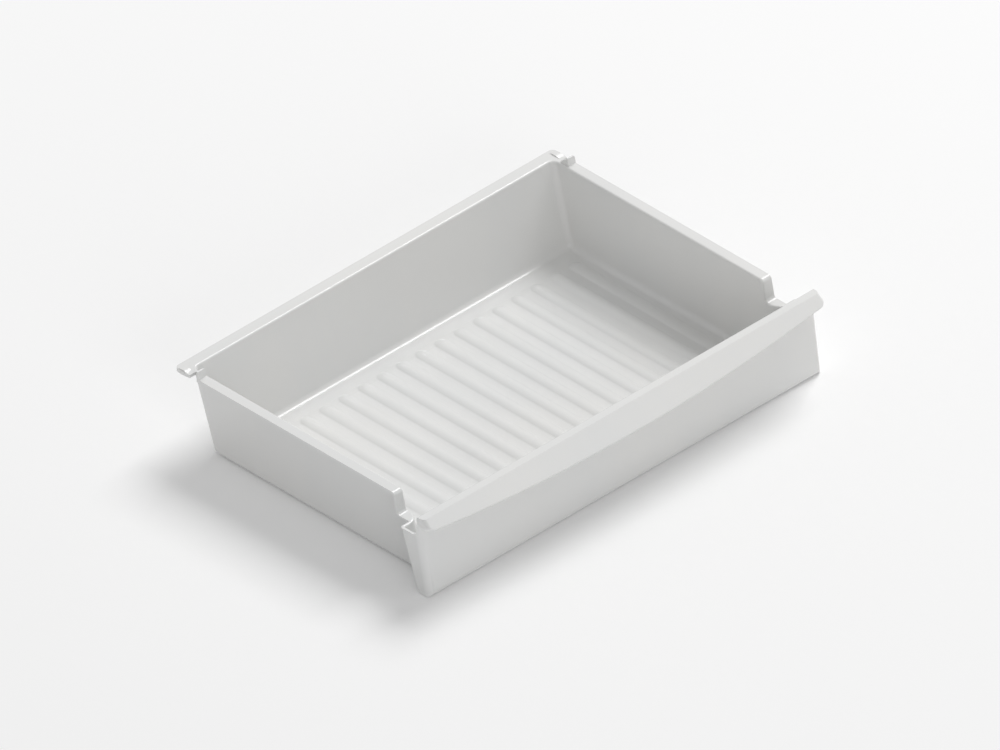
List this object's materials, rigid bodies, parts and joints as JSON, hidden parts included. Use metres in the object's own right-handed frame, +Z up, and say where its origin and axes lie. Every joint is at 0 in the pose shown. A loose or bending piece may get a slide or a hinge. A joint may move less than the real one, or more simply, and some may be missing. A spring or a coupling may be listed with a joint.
{
  "type": "refrigerator meat drawer",
  "caption": "Shallow moulded refrigerator drawer with a ribbed floor, side rims that step down to a wider hollow front, and a bowed pull lip along the top of the front.",
  "frame": {"origin": "centre of the underside, midway between the sides and between the lip's front edge and the rear flange's edge, on the surface the drawer stands on", "axes": "+X across the drawer to the right as seen from the front, +Y from the pull lip to the back, +Z up"},
  "size_m": [0.414, 0.2849, 0.0757],
  "materials": {
    "meat_drawer": "glossy moulded"
  },
  "bodies": {
    "root": {"meat_drawer": "meat_drawer"}
  },
  "joints": []
}
